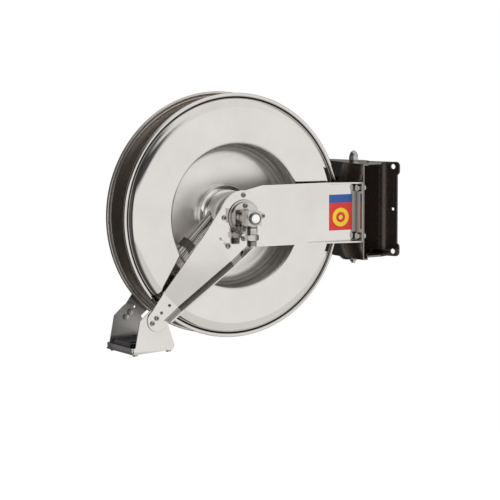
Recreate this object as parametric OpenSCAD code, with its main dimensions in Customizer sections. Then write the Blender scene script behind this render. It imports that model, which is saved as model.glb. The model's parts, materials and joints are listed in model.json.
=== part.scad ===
// Spring-rewind hose reel on a swivelling wall bracket, in millimetres.
// Row axes: the wall is the plane Y = 0, the room lies towards -Y, Z is up, and the
// origin is the centre of the four anchor holes on the back of the wall plate.
// Reel axes: origin on the drum axis midway between the discs, +X towards the swivel
// pivot, -Y out of the near side (inlet swivel), Z up. reel_place() carries them over.

/* [Wall bracket] */
// Width of the wall plate over its ears
plate_w = 150; // [140:1:170]
// Height of the wall plate
plate_h = 200; // [180:2:240]
// Thickness of the bracket plate and tongues
bracket_t = 4; // [3:0.5:6]
// Horizontal distance between anchor holes
anchor_dx = 120; // [110:1:130]
// Vertical distance between anchor holes
anchor_dz = 180; // [160:2:184]
// Diameter of the anchor holes
anchor_d = 11; // [9:0.5:13]
// Distance of the swivel pivot from the wall
pivot_out = 67; // [60:1:80]
// Diameter of the pivot pin
pivot_d = 16; // [12:1:20]

/* [Swinging frame] */
// How far the reel is turned from square to the wall in the stored pose, in degrees
rest_swivel = 30; // [0:1:50]
// Distance from the drum axis to the swivel pivot
pivot_arm = 308; // [300:1:340]
// Thickness of the arm and channel sheet
sheet_t = 3; // [2:0.5:4]
// Distance of the outer face of each arm from the middle plane of the drum
arm_face = 82; // [80:1:95]
// Height of the arm beam
beam_h = 125; // [110:1:130]
// Distance from the drum axis to the front face of the swivel channel
channel_x = 269; // [264:1:272]
// Full width of the swivel channel across the arms
channel_w = 210; // [200:2:220]
// Distance of the outer faces of the guide cheeks from the middle plane
cheek_face = 60.5; // [58:0.5:64]

/* [Drum] */
// Diameter of the drum discs over the rolled rim
disc_d = 500; // [500:10:520]
// Diameter of the well in the middle of each disc
well_d = 292; // [280:2:300]
// Distance between the two rim planes
rim_gap = 79; // [70:1:90]
// How far the flat ring of each disc stands outside its rim plane
disc_raise = 15; // [10:1:18]
// Thickness of the disc sheet
disc_t = 2; // [1.5:0.5:2.5]
// Outside diameter of the hub tube
hub_d = 100; // [90:2:110]
// Number of teeth on the ratchet wheel
ratchet_teeth = 16; // [12:4:20]

/* [Hidden] */
$fn = 64;

cut = 1;                        // how far a cutting tool runs past what it cuts
running = 0.05;                 // radial clearance of a turning fit
washer_t = 1;                   // thickness of a thrust washer
screw_r = 3;                    // 6 mm screws: shank, round head
screw_head_r = 5;
screw_flats = 10;               // their hexagon heads and nuts
screw_head_h = 4;
bolt_r = 4;                     // 8 mm bolts: shank, hexagon head, nut
bolt_flats = 13;
bolt_head_h = 5.5;
bolt_nut_h = 6.5;
hole_play = 0.3;                // radial clearance of a screw or bolt in a sheet
colour_bright = [0.82, 0.81, 0.79];
colour_dark = [0.45, 0.44, 0.42];
colour_nylon = [0.16, 0.16, 0.17];
colour_brass = [0.76, 0.62, 0.34];

// The swivel channel sits on the two tongues through the thrust washers.
channel_top = plate_h / 2 + washer_t + sheet_t;
channel_low = -plate_h / 2 + bracket_t + washer_t;
reel_lift = (channel_top + channel_low) / 2;
channel_half = (channel_top - channel_low) / 2;

// Planes along the drum axis
arm_in = arm_face - sheet_t;
housing_t = 6;                  // flange of a bearing housing, inside the arm
housing_in = arm_in - housing_t;
boss_out = arm_face + 3;        // outer end of a housing boss
annulus_y = rim_gap / 2 + disc_raise;
joint_y = 8;                    // plane where the two discs are bolted together

// Radii about the drum axis
rim_r = disc_d / 2;
well_r = well_d / 2;
hub_r = hub_d / 2;
shaft_r = 15;
spigot_r = 9;
water_r = 6.5;
bush_r = 20;
boss_r = 34.5;
housing_r = 52;
housing_screw_r = 44.5;
case_r = 115;
case_flange_r = 126;
arbor_r = 24;
arbor_from = 16;
arbor_foot_r = 30;
arbor_foot_t = 4;

// ---- placing helpers ----

// Carries reel axes to row axes.
module reel_place() {
    translate([0, -pivot_out, reel_lift]) rotate([0, 0, 90 - rest_swivel])
        translate([-pivot_arm, 0, 0]) children();
}

// Draws a child made about +Z about the drum axis, with its +Z along +Y.
module about_axis() { rotate([-90, 0, 0]) children(); }

// Draws a child made in X, Z with its thickness towards the near side, from plane y.
module facing_near(y) { translate([0, y, 0]) rotate([90, 0, 0]) children(); }

// Round bar along Y, from y0 to y1, at [x, z].
module bar(y0, y1, r, x = 0, z = 0) {
    translate([x, y0, z]) about_axis() cylinder(h = y1 - y0, r = r);
}

// Tube along Y.
module ring(y0, y1, r_out, r_in, x = 0, z = 0) {
    difference() {
        bar(y0, y1, r_out, x, z);
        bar(y0 - cut, y1 + cut, r_in, x, z);
    }
}

// Hexagon prism along Y, across the flats.
module hex_bar(y0, y1, flats, x = 0, z = 0) {
    translate([x, y0, z]) about_axis()
        cylinder(h = y1 - y0, r = flats / sqrt(3), $fn = 6);
}

// Flat shape with round corners, centred.
module rounded_rect(w, h, r) {
    square([w - 2 * r, h], center = true);
    square([w, h - 2 * r], center = true);
    for (sx = [-1, 1], sy = [-1, 1])
        translate([sx * (w / 2 - r), sy * (h / 2 - r)]) circle(r);
}

// Points of an arc about [cx, cy], in n steps.
function arc(cx, cy, r, from, to, n) =
    [for (i = [0 : n]) let (a = from + (to - from) * i / n) [cx + r * cos(a), cy + r * sin(a)]];

function reversed(list) = [for (i = [len(list) - 1 : -1 : 0]) list[i]];

// ---- wall bracket ----

ear_h = 28;
ear_w = 32;
ear_r = 8;
ear_step = 5;                   // how far the plate is cut back between its ears
tongue_w = 92;
tongue_nose_r = 28;
tongue_root = 1;                // how far a tongue starts inside the plate
tongue_straight = 30;           // how far its sides run straight out
middle_hole_d = 7;

module plate_outline() {
    square([plate_w - 2 * ear_step, plate_h - ear_h], center = true);
    square([plate_w - 2 * ear_r, plate_h], center = true);
    for (sx = [-1, 1], sz = [-1, 1])
        translate([sx * (plate_w - ear_w) / 2, sz * (plate_h - ear_h) / 2])
            rounded_rect(ear_w, ear_h, ear_r);
}

module tongue_outline() {
    half = tongue_w / 2;
    polygon([[-half, -tongue_root], [half, -tongue_root], [half, -tongue_straight],
        [tongue_nose_r, -pivot_out], [-tongue_nose_r, -pivot_out], [-half, -tongue_straight]]);
    translate([0, -pivot_out]) circle(tongue_nose_r);
}

module wall_bracket() {
    color(colour_dark) difference() {
        union() {
            rotate([90, 0, 0]) linear_extrude(bracket_t) plate_outline();
            for (z = [-plate_h / 2, plate_h / 2 - bracket_t])
                translate([0, 0, z]) linear_extrude(bracket_t) tongue_outline();
        }
        for (sx = [-1, 1], sz = [-1, 1])
            bar(-bracket_t - cut, cut, anchor_d / 2, sx * anchor_dx / 2, sz * anchor_dz / 2);
        for (sx = [-1, 1]) bar(-bracket_t - cut, cut, middle_hole_d / 2, sx * anchor_dx / 2, 0);
        translate([0, -pivot_out, -plate_h / 2 - cut])
            cylinder(h = plate_h + 2 * cut, r = pivot_d / 2);
    }
}

// ---- pivot: all drawn about the pivot axis, heights from the middle of the wall plate ----

pin_low = -plate_h / 2;
pin_high = channel_top + 0.5;   // the cap nut closes on the pin, not on the channel
stud_r = 6;                     // threaded top of the pin
stud_h = 15;
cap_hex_h = 9;
cap_flats = 19;
cap_nut_h = 22;
dome_in = 4.5;                  // how far past the axis the centre of the dome's arc lies
dome_sweep = 70;
end_washer_r = 24;
end_washer_t = 3;
end_hole_deep = 20;
end_bolt_reach = 15;            // how far the end bolt screws into the pin
end_bolt_low = 9;               // how far its round end stands below the washer

module about_pivot(z) { translate([0, -pivot_out, z]) children(); }

module pivot_pin() {
    color(colour_bright) about_pivot(0) difference() {
        union() {
            translate([0, 0, pin_low]) cylinder(h = pin_high - pin_low, r = pivot_d / 2);
            translate([0, 0, pin_high]) cylinder(h = stud_h, r = stud_r);
        }
        translate([0, 0, pin_low - cut]) cylinder(h = end_hole_deep + cut, r = bolt_r);
    }
}

// Domed nut: hexagon below, pointed dome above, blind thread hole from below.
module pivot_cap_nut() {
    dome_r = cap_flats / 2 - 0.5;
    color(colour_bright) about_pivot(pin_high) difference() {
        union() {
            cylinder(h = cap_hex_h, r = cap_flats / sqrt(3), $fn = 6);
            rotate_extrude() polygon(concat([[0, cap_hex_h - 1], [dome_r, cap_hex_h - 1]],
                arc(-dome_in, cap_hex_h, dome_r + dome_in, 0, dome_sweep, 8), [[0, cap_nut_h]]));
        }
        translate([0, 0, -cut]) cylinder(h = stud_h + cut, r = stud_r);
    }
}

module pivot_end_washer() {
    color(colour_dark) about_pivot(pin_low - end_washer_t) difference() {
        cylinder(h = end_washer_t, r = end_washer_r);
        translate([0, 0, -cut]) cylinder(h = end_washer_t + 2 * cut, r = bolt_r);
    }
}

module pivot_end_bolt() {
    color(colour_bright) about_pivot(pin_low - end_washer_t) {
        translate([0, 0, -bolt_head_h])
            cylinder(h = bolt_head_h, r = bolt_flats / sqrt(3), $fn = 6);
        translate([0, 0, -end_bolt_low])
            cylinder(h = end_bolt_low + end_washer_t + end_bolt_reach, r = bolt_r);
    }
}

// ---- swivel channel, drawn in reel axes ----

channel_nose_r = 32;
channel_fold = 12;              // how far a flange keeps its full width
channel_chord = [14, 3];        // where its sides meet the nose: past the pivot, in from the nose
thrust_r = 22;

module channel_flange_outline() {
    half = channel_w / 2;
    fold = channel_x + channel_fold;
    chord = [pivot_arm + channel_chord[0], channel_nose_r - channel_chord[1]];
    polygon([[channel_x, -half], [fold, -half], [chord[0], -chord[1]], chord, [fold, half],
        [channel_x, half]]);
    translate([pivot_arm, 0]) circle(channel_nose_r);
}

arm_bolt_y = arm_in + 13.5;     // rear bolts, along Y
arm_bolt_z = 50;

module swivel_channel() {
    color(colour_dark) reel_place() difference() {
        union() {
            translate([channel_x, -channel_w / 2, -channel_half])
                cube([sheet_t, channel_w, 2 * channel_half]);
            for (z = [-channel_half, channel_half - sheet_t])
                translate([0, 0, z]) linear_extrude(sheet_t) channel_flange_outline();
        }
        translate([pivot_arm, 0, -channel_half - cut])
            cylinder(h = 2 * channel_half + 2 * cut, r = pivot_d / 2 + running);
        for (sy = [-1, 1], sz = [-1, 1])
            translate([channel_x - cut, sy * arm_bolt_y, sz * arm_bolt_z])
                rotate([0, 90, 0]) cylinder(h = sheet_t + 2 * cut, r = bolt_r);
    }
}

// A washer leaves running clearance under the flange that sits on it.
module thrust_washers() {
    for (z = [plate_h / 2, -plate_h / 2 + bracket_t])
        color(colour_nylon) about_pivot(z) difference() {
            cylinder(h = washer_t - running, r = thrust_r);
            translate([0, 0, -cut]) cylinder(h = washer_t + 2 * cut, r = pivot_d / 2 + running);
        }
}

// ---- arms ----
// An arm is drawn flat as [x, z] with its inner face on z = 0 and its outer face on
// z = sheet_t, then stood up. The leg runs down and away from the bracket, bends in
// towards the drum at leg_bend and straightens again at foot_start.

leg_angle = 226.7;              // direction of the leg in X, Z
leg_bend = 85;                  // distance of the first bend from the drum axis
foot_start = 226;               // distance of the second bend
foot_end = [274.7, 4.6];        // centre of the round foot, along and across the leg
foot_r = 22.5;
hub_corner_r = 54;
leg_in = arm_face - cheek_face - sheet_t;
lip_w = 15;                     // how far the edge lip stands out of the leg
rear_flange_w = channel_w / 2 - arm_in;
leg_slope = atan(leg_in / (foot_start - leg_bend));
leg_end = 320;                  // past the end of the foot
slot_r = 67.5;                  // curved slot for the adjusting screw
slot_w = 4;
slot_from = 217;
slot_to = 238.5;
slot_bolt_r = 2.9;
slot_head_r = 5.5;
leg_sides = [[0, -53], [270.7, -17.3], foot_end, [262, 24.5], [30, 57], [0, 20]];
lip_edge = [[30, 57], [262, 24.5]];
beam_front = [[-10, -50], [-10, 52.5], [7, 54], [44, beam_h / 2]];
beam_back = [[channel_x, beam_h / 2], [channel_x, -beam_h / 2], [20, -beam_h / 2]];
beam_lips = [[146, -beam_h / 2], [200, beam_h / 2 - sheet_t]];  // where each starts, its height

function leg_point(t, s) = [t * cos(leg_angle) - s * sin(leg_angle),
    t * sin(leg_angle) + s * cos(leg_angle)];

// Leg outline along and across the leg
module leg_outline() {
    polygon(leg_sides);
    translate(foot_end) circle(foot_r);
}

// Strip that the lip stands on, along the lower edge of the leg
module lip_outline() {
    polygon(concat(lip_edge, [for (i = [1, 0]) lip_edge[i] - [0, sheet_t]]));
}

// Side view of the bent leg: a line at a height h above its outer face
function leg_line(h) = [[0, sheet_t + h], [leg_bend + h * tan(leg_slope / 2), sheet_t + h],
    [foot_start + h * tan(leg_slope / 2), sheet_t + h - leg_in], [leg_end, sheet_t + h - leg_in]];

// Bent strip as wide as any outline, from the inner face to a height above the outer face
module leg_strip(rise) {
    translate([0, leg_end / 2, 0]) rotate([90, 0, 0]) linear_extrude(leg_end)
        polygon(concat(leg_line(rise), reversed(leg_line(-sheet_t))));
}

// What a strip keeps inside an outline
module leg_cut(rise) {
    intersection() {
        leg_strip(rise);
        translate([0, 0, -leg_in - cut]) linear_extrude(leg_in + lip_w + 2 * sheet_t) children();
    }
}

// Holes in the foot, as [x, z]
guide_screw_at = [[-188, -198], [-197.5, -208]];
foot_hole_at = [[-177, -188], [-159, -174]];

module arm_flat() {
    // hub and beam
    linear_extrude(sheet_t) union() {
        circle(hub_corner_r);
        polygon(concat(beam_front, beam_back));
    }
    // rear flange and the tapered lips that stiffen it
    translate([channel_x - sheet_t, -beam_h / 2, 0])
        cube([sheet_t, beam_h, rear_flange_w]);
    for (lip = beam_lips)
        translate([0, lip[1], 0]) rotate([-90, 0, 0]) mirror([0, 1, 0]) linear_extrude(sheet_t)
            polygon([[lip[0], 0], [channel_x, 0], [channel_x, rear_flange_w], [lip[0], sheet_t]]);
    rotate([0, 0, leg_angle]) {
        leg_cut(0) leg_outline();
        leg_cut(lip_w) lip_outline();
    }
}

module arm_holes() {
    translate([0, 0, -cut]) cylinder(h = sheet_t + 2 * cut, r = boss_r + 0.5);
    for (a = [0 : 90 : 270]) rotate([0, 0, a]) translate([housing_screw_r, 0, -cut])
        cylinder(h = sheet_t + 2 * cut, r = screw_r + hole_play);
    for (p = concat(guide_screw_at, foot_hole_at)) translate([p[0], p[1], -leg_in - cut])
        cylinder(h = sheet_t + 2 * cut, r = screw_r + hole_play);
    for (sz = [-1, 1]) translate([channel_x - sheet_t - cut, sz * arm_bolt_z, arm_bolt_y - arm_in])
        rotate([0, 90, 0]) cylinder(h = sheet_t + 2 * cut, r = bolt_r + hole_play);
}

module arm_near() {
    color(colour_bright) reel_place() facing_near(-arm_in) difference() {
        arm_flat();
        arm_holes();
        translate([0, 0, -cut]) rotate([0, 0, slot_from]) rotate_extrude(angle = slot_to - slot_from)
            translate([slot_r - slot_w / 2, 0]) square([slot_w, sheet_t + 2 * cut]);
        rotate([0, 0, slot_to]) translate([slot_r, 0, -cut])
            cylinder(h = sheet_t + 2 * cut, r = slot_w / 2 + 1);
    }
}

module arm_far() {
    color(colour_bright) reel_place() mirror([0, 1, 0]) facing_near(-arm_in) difference() {
        arm_flat();
        arm_holes();
        translate([pawl_pivot[0], pawl_pivot[1], -cut])
            cylinder(h = sheet_t + 2 * cut, r = pawl_pin_r);
    }
}

// Hexagon head bolts along +X, through the rear flanges and the channel web
module arm_bolts() {
    for (sy = [-1, 1], sz = [-1, 1]) color(colour_bright) reel_place()
        translate([channel_x - sheet_t, sy * arm_bolt_y, sz * arm_bolt_z]) rotate([0, 90, 0]) {
            translate([0, 0, -bolt_head_h])
                cylinder(h = bolt_head_h, r = bolt_flats / sqrt(3), $fn = 6);
            cylinder(h = 2 * sheet_t + bolt_nut_h + 2.5, r = bolt_r);
        }
}

module arm_nuts() {
    for (sy = [-1, 1], sz = [-1, 1]) color(colour_bright) reel_place()
        translate([channel_x + sheet_t, sy * arm_bolt_y, sz * arm_bolt_z]) rotate([0, 90, 0])
            difference() {
                cylinder(h = bolt_nut_h, r = bolt_flats / sqrt(3), $fn = 6);
                translate([0, 0, -cut]) cylinder(h = bolt_nut_h + 2 * cut, r = bolt_r);
            }
}

// ---- hose guide, drawn about the middle of its base: u along X, v along Y, w up ----

guide_at = [-193, -267];
guide_tilt = 4;
window_u = [-29, 29];
window_v = 38;
guide_lip_h = 13;
guide_lip_half = 57;
base_u = [-47, 43];
guide_nut_h = 5;
holder_bolt_u = 37.5;
holder_bolt_v = 51;
roller_r = 7;
roller_pin_r = 3;
roller_up = 13;                 // height of the roller axes above the underside
long_roller_u = 36.5;
side_roller_v = 46.5;
long_roller_half = 37;
side_roller_half = 25.5;
holder_wall = [40, 43];         // planes of the wall that carries the long rollers
side_lug = [27, 30];            // planes of the lugs that carry the side rollers
side_lug_len = 12;
holder_end = 43.5;
holder_foot = [44, 57];         // strip that is bolted down
holder_foot_t = 2;
holder_h = 17;

module guide_place() {
    reel_place() translate([guide_at[0], 0, guide_at[1]]) rotate([0, -guide_tilt, 0]) children();
}

module cheek_outline() {
    polygon(concat([[-44, 0], [38, 0]], arc(38, 9, 9, -90, 15, 5),
        [[36, 52], [28, 73]], arc(8, 68, 19, 20, 130, 7), [[-26, 66], [-40, guide_lip_h],
        [-44, guide_lip_h]]));
}

module guide_bracket() {
    color(colour_bright) difference() {
        guide_place() {
            difference() {
                translate([base_u[0], -cheek_face, 0])
                    cube([base_u[1] - base_u[0], 2 * cheek_face, sheet_t]);
                translate([window_u[0], -window_v, -cut])
                    cube([window_u[1] - window_u[0], 2 * window_v, sheet_t + 2 * cut]);
                for (su = [-1, 1], sv = [-1, 1])
                    translate([su * holder_bolt_u, sv * holder_bolt_v, -cut])
                        cylinder(h = sheet_t + 2 * cut, r = screw_r);
            }
            translate([base_u[0], -guide_lip_half, 0])
                cube([sheet_t, 2 * guide_lip_half, guide_lip_h]);
            for (v = [-cheek_face + sheet_t, cheek_face])
                translate([0, v, 0]) rotate([90, 0, 0]) linear_extrude(sheet_t) cheek_outline();
        }
        reel_place() for (p = concat(guide_screw_at, [foot_hole_at[0]]))
            bar(-cheek_face - cut, cheek_face + cut, screw_r, p[0], p[1]);
    }
}

module guide_screws() {
    for (p = guide_screw_at, side = [0, 1]) color(colour_bright) reel_place()
        mirror([0, side, 0]) {
            bar(-cheek_face - sheet_t - screw_head_h, -cheek_face - sheet_t, screw_head_r,
                p[0], p[1]);
            bar(-cheek_face - sheet_t, -cheek_face + sheet_t + guide_nut_h + 3, screw_r,
                p[0], p[1]);
        }
}

module guide_nuts() {
    for (p = guide_screw_at, side = [0, 1]) color(colour_bright) reel_place()
        mirror([0, side, 0]) difference() {
            hex_bar(-cheek_face + sheet_t, -cheek_face + sheet_t + guide_nut_h, screw_flats,
                p[0], p[1]);
            bar(-cheek_face, -cheek_face + sheet_t + guide_nut_h + cut, screw_r, p[0], p[1]);
        }
}

// Folded sheet that carries the ends of the rollers at one side of the hose window.
module roller_holder(side) {
    wall_len = holder_end - side_lug[0];
    color(colour_dark) guide_place() mirror([0, side, 0]) difference() {
        union() {
            translate([-holder_end + 0.5, holder_foot[0], sheet_t])
                cube([2 * holder_end - 1, holder_foot[1] - holder_foot[0], holder_foot_t]);
            for (su = [-1, 1]) {
                translate([su > 0 ? side_lug[0] : -side_lug[1], holder_wall[0], sheet_t])
                    cube([side_lug[1] - side_lug[0], side_lug_len, holder_h]);
                translate([su > 0 ? side_lug[0] : -holder_end, holder_wall[0], sheet_t]) {
                    cube([wall_len, holder_wall[1] - holder_wall[0], holder_h]);
                    cube([wall_len, holder_foot[0] - holder_wall[0] + 2, holder_foot_t]);
                }
            }
        }
        for (su = [-1, 1]) {
            translate([su * long_roller_u, holder_wall[0] - cut, roller_up]) about_axis()
                cylinder(h = holder_wall[1] - holder_wall[0] + 2 * cut, r = roller_pin_r);
            translate([su * holder_bolt_u, holder_bolt_v, 0])
                cylinder(h = sheet_t + holder_foot_t + cut, r = screw_r);
        }
        translate([-holder_end, side_roller_v, roller_up]) rotate([0, 90, 0])
            cylinder(h = 2 * holder_end, r = roller_pin_r);
    }
}

module roller_holder_near() { roller_holder(1); }
module roller_holder_far() { roller_holder(0); }

module roller_pins() {
    color(colour_bright) guide_place() {
        for (su = [-1, 1]) translate([su * long_roller_u, 0, roller_up])
            bar(-holder_wall[1], holder_wall[1], roller_pin_r);
        for (sv = [-1, 1]) translate([-side_lug[1], sv * side_roller_v, roller_up])
            rotate([0, 90, 0]) cylinder(h = 2 * side_lug[1], r = roller_pin_r);
    }
}

module long_roller(u) {
    color(colour_nylon) guide_place() translate([u, 0, roller_up])
        ring(-long_roller_half, long_roller_half, roller_r, roller_pin_r + running);
}

module side_roller(v) {
    color(colour_nylon) guide_place() translate([-side_roller_half, v, roller_up])
        rotate([0, 90, 0]) difference() {
            cylinder(h = 2 * side_roller_half, r = roller_r);
            translate([0, 0, -cut])
                cylinder(h = 2 * side_roller_half + 2 * cut, r = roller_pin_r + running);
        }
}

module roller_long_front() { long_roller(-long_roller_u); }
module roller_long_rear() { long_roller(long_roller_u); }
module roller_side_near() { side_roller(-side_roller_v); }
module roller_side_far() { side_roller(side_roller_v); }

module roller_holder_bolts() {
    for (su = [-1, 1], sv = [-1, 1]) color(colour_bright) guide_place()
        translate([su * holder_bolt_u, sv * holder_bolt_v, 0]) {
            translate([0, 0, -screw_head_h])
                cylinder(h = screw_head_h, r = screw_flats / sqrt(3), $fn = 6);
            cylinder(h = sheet_t + holder_foot_t + 3, r = screw_r);
        }
}

// ---- bearings and fixed parts about the drum axis ----

module bearing_housing() {
    color(colour_bright) difference() {
        union() {
            bar(-arm_in, -housing_in, housing_r);
            bar(-boss_out, -arm_in, boss_r);
        }
        bar(-boss_out - cut, -housing_in + cut, bush_r);
        for (a = [0 : 90 : 270])
            bar(-arm_in - cut, -housing_in + cut, screw_r,
                housing_screw_r * cos(a), housing_screw_r * sin(a));
        for (a = [90, 270])
            bar(-boss_out - cut, -boss_out + flange_screw_deep + 1, screw_r,
                flange_screw_r * cos(a), flange_screw_r * sin(a));
    }
}

module bearing_housing_near() { reel_place() bearing_housing(); }
module bearing_housing_far() { reel_place() mirror([0, 1, 0]) bearing_housing(); }

module bearing_bush_near() {
    color(colour_brass) reel_place() ring(-boss_out, -housing_in, bush_r, shaft_r + running);
}

module bearing_bush_far() {
    color(colour_brass) reel_place() ring(housing_in, boss_out, bush_r, shaft_r + running);
}

module housing_screws() {
    for (side = [0, 1], a = [0 : 90 : 270]) color(colour_bright) reel_place()
        mirror([0, side, 0]) rotate([0, a, 0]) {
            bar(-arm_face - screw_head_h, -arm_face, screw_head_r, housing_screw_r);
            bar(-arm_face, -housing_in, screw_r, housing_screw_r);
        }
}

// Fixed sleeve round the shaft that the inner end of the spring hooks on to
module spring_arbor() {
    color(colour_bright) reel_place() difference() {
        union() {
            bar(arbor_from, housing_in, arbor_r);
            bar(housing_in - arbor_foot_t, housing_in, arbor_foot_r);
        }
        bar(arbor_from - cut, housing_in + cut, shaft_r + 0.5);
    }
}

// ---- inlet swivel ----

flange_screw_r = 23.5;
flange_screw_deep = 4;
flange_screw_head = 5;          // height of the socket heads
swivel_flange_r = 30;
swivel_flange_t = 5;
neck_r = 14;
block_front = -131;
block_back = -104;
block_w = 30;
block_h = 29;
block_mid = (block_front + block_back) / 2;
cap_r = 12.5;
cap_t = 4;
cap_plug_r = 10.5;
cap_plug_y = -124;
seal_w = 2.4;
seal_r = 11;
seal_y = [-110, -96];

module swivel_body() {
    color(colour_bright) reel_place() difference() {
        union() {
            bar(-boss_out - swivel_flange_t, -boss_out, swivel_flange_r);
            bar(block_back, -boss_out - swivel_flange_t, neck_r);
            translate([-block_w / 2, block_front, -block_h / 2])
                cube([block_w, block_back - block_front, block_h]);
        }
        bar(cap_plug_y - cut, -boss_out + cut, spigot_r + running);
        bar(block_front - cut, cap_plug_y, cap_plug_r);
        for (y = seal_y) bar(y, y + seal_w, seal_r);
        for (a = [90, 270])
            bar(-boss_out - swivel_flange_t - cut, -boss_out + cut, screw_r,
                flange_screw_r * cos(a), flange_screw_r * sin(a));
        translate([0, block_mid, -block_h / 2 - cut]) cylinder(h = block_h / 2, r = water_r);
    }
}

module swivel_flange_screws() {
    for (sz = [-1, 1]) color(colour_bright) reel_place() {
        bar(-boss_out - swivel_flange_t - flange_screw_head, -boss_out - swivel_flange_t,
            screw_head_r, 0, sz * flange_screw_r);
        bar(-boss_out - swivel_flange_t, -boss_out + flange_screw_deep, screw_r,
            0, sz * flange_screw_r);
    }
}

module swivel_cap() {
    color(colour_bright) reel_place() {
        bar(block_front - cap_t, block_front, cap_r);
        bar(block_front, cap_plug_y - 1, cap_plug_r);
    }
}

module swivel_seals() {
    for (y = seal_y) color(colour_nylon) reel_place()
        ring(y, y + seal_w, seal_r, spigot_r + running);
}

// Inlet column under the block: round barrel, union nut, threaded tail
adapter_low = -33;
nut_low = -45;
inlet_flats = 25;
tail_low = -58;
adapter_r = 12;
tail_r = 10.475;
tail_neck_r = 9;

module column(z0, z1, r) {
    translate([0, block_mid, z0]) cylinder(h = z1 - z0, r = r);
}

module inlet_adapter() {
    color(colour_bright) reel_place() difference() {
        column(adapter_low, -block_h / 2, adapter_r);
        column(adapter_low - cut, -block_h / 2 + cut, water_r);
    }
}

module inlet_nut() {
    color(colour_bright) reel_place() difference() {
        translate([0, block_mid, nut_low])
            cylinder(h = adapter_low - nut_low, r = inlet_flats / sqrt(3), $fn = 6);
        column(nut_low - cut, adapter_low + cut, tail_neck_r);
    }
}

module inlet_tail() {
    color(colour_bright) reel_place() difference() {
        union() {
            column(nut_low, adapter_low, tail_neck_r);
            column(tail_low, nut_low, tail_r);
        }
        column(tail_low - cut, adapter_low + cut, water_r);
    }
}

module slot_screw() {
    x = slot_r * cos(slot_to);
    z = slot_r * sin(slot_to);
    color(colour_bright) reel_place() {
        bar(-arm_face - screw_head_h, -arm_face, slot_head_r, x, z);
        bar(-arm_face, -arm_in + 6, slot_bolt_r, x, z);
    }
}

sticker_x = [201, 256];
sticker_half = 37;
sticker_t = 0.3;

module sticker() {
    color([0.85, 0.25, 0.2]) reel_place()
        translate([sticker_x[0], -arm_face - sticker_t, -sticker_half])
            cube([sticker_x[1] - sticker_x[0], sticker_t, 2 * sticker_half]);
}

// ---- ratchet ----

ratchet_y = 56;
ratchet_t = 5;
ratchet_tip_r = 78;
ratchet_root_r = 70;
ratchet_bore_r = 34;
tooth_face = 0.5;               // angle that the steep side of a tooth takes up
pawl_pivot = [87, 44];
pawl_pin_r = 4;
pawl_t = 4.5;
pawl_eye_r = 9;
pawl_tongue = [[80.5, 41], [93.5, 41], [89, 8], [83, 1.5], [79.6, 1.5]];
pin_collar_r = 7;
pin_gap = 0.4;                  // end play of the pawl

module ratchet_wheel() {
    step = 360 / ratchet_teeth;
    color(colour_dark) reel_place() facing_near(ratchet_y + ratchet_t) difference() {
        linear_extrude(ratchet_t) polygon([for (i = [0 : ratchet_teeth - 1])
            each [ratchet_tip_r * [cos(i * step), sin(i * step)],
                ratchet_root_r * [cos(i * step + tooth_face), sin(i * step + tooth_face)]]]);
        translate([0, 0, -cut]) cylinder(h = ratchet_t + 2 * cut, r = ratchet_bore_r);
    }
}

module pawl_pin() {
    color(colour_bright) reel_place() {
        bar(ratchet_y + pin_gap, arm_face, pawl_pin_r, pawl_pivot[0], pawl_pivot[1]);
        bar(ratchet_y + ratchet_t + pin_gap, arm_in, pin_collar_r, pawl_pivot[0], pawl_pivot[1]);
        bar(arm_face, arm_face + 3, pin_collar_r, pawl_pivot[0], pawl_pivot[1]);
    }
}

// Held just clear of the teeth in the stored pose
module pawl() {
    color(colour_bright) reel_place() facing_near(ratchet_y + ratchet_t) difference() {
        union() {
            translate([pawl_pivot[0], pawl_pivot[1], 0]) cylinder(h = pawl_t, r = pawl_eye_r);
            linear_extrude(pawl_t) polygon(pawl_tongue);
        }
        translate([pawl_pivot[0], pawl_pivot[1], -cut])
            cylinder(h = ratchet_t + 2 * cut, r = pawl_pin_r + running);
    }
}

// ---- drum ----
// Profile of a disc as [radius, height above the middle plane] from the rim to the centre.
// dish is the height of the visible face of its back wall, round the radius of the bowl or
// fillet between that and the side of the well.

bead_r = 4;
web_y = rim_gap / 2 - 1.5;      // plane of the narrow web between shoulder and bead
flat_r = 218;                   // outer edge of the flat ring
shoulder_r = 25;
edge_r = 6;                     // round edge of the well
bowl_r = 25;                    // round bottom of the near well
fillet_r = 20;                  // of the far well, which holds the spring case
disc_bore_r = shaft_r;
outlet_cut = 20;                // half length of the cutter for the pipe's way through a wall

// Angle at which an arc of the shoulder, of radius r, is at height h
function shoulder_to(r, h) = asin((h - annulus_y + shoulder_r) / r);

module disc_profile(dish, round) {
    top = annulus_y;
    out = rim_r - bead_r;
    t = disc_t;
    bowl = [well_r - round, dish + round];
    polygon(concat(
        [[out, web_y]],
        arc(flat_r, top - shoulder_r, shoulder_r, shoulder_to(shoulder_r, web_y), 90, 8),
        arc(well_r + edge_r, top - edge_r, edge_r, 90, 180, 4),
        arc(bowl[0], bowl[1], round, 0, -90, 10),
        [[disc_bore_r, dish], [disc_bore_r, dish - t]],
        arc(bowl[0], bowl[1], round + t, -90, 0, 10),
        arc(well_r + edge_r, top - edge_r, edge_r - t, 180, 90, 4),
        arc(flat_r, top - shoulder_r, shoulder_r - t, 90,
            shoulder_to(shoulder_r - t, web_y - t), 8),
        [[out, web_y - t]]));
}

module disc(dish, round) {
    rotate_extrude() disc_profile(dish, round);
    rotate_extrude() translate([rim_r - bead_r, rim_gap / 2]) circle(bead_r);
}

hub_bolt_ring = 36;
hub_bolt_angles = [30 : 60 : 330];
hub_bolt_head = [6.5, 4];       // radius, height of a rounded head

module hub_bolt_holes() {
    for (a = hub_bolt_angles)
        bar(-20, 40, bolt_r, hub_bolt_ring * cos(a), hub_bolt_ring * sin(a));
}

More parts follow.
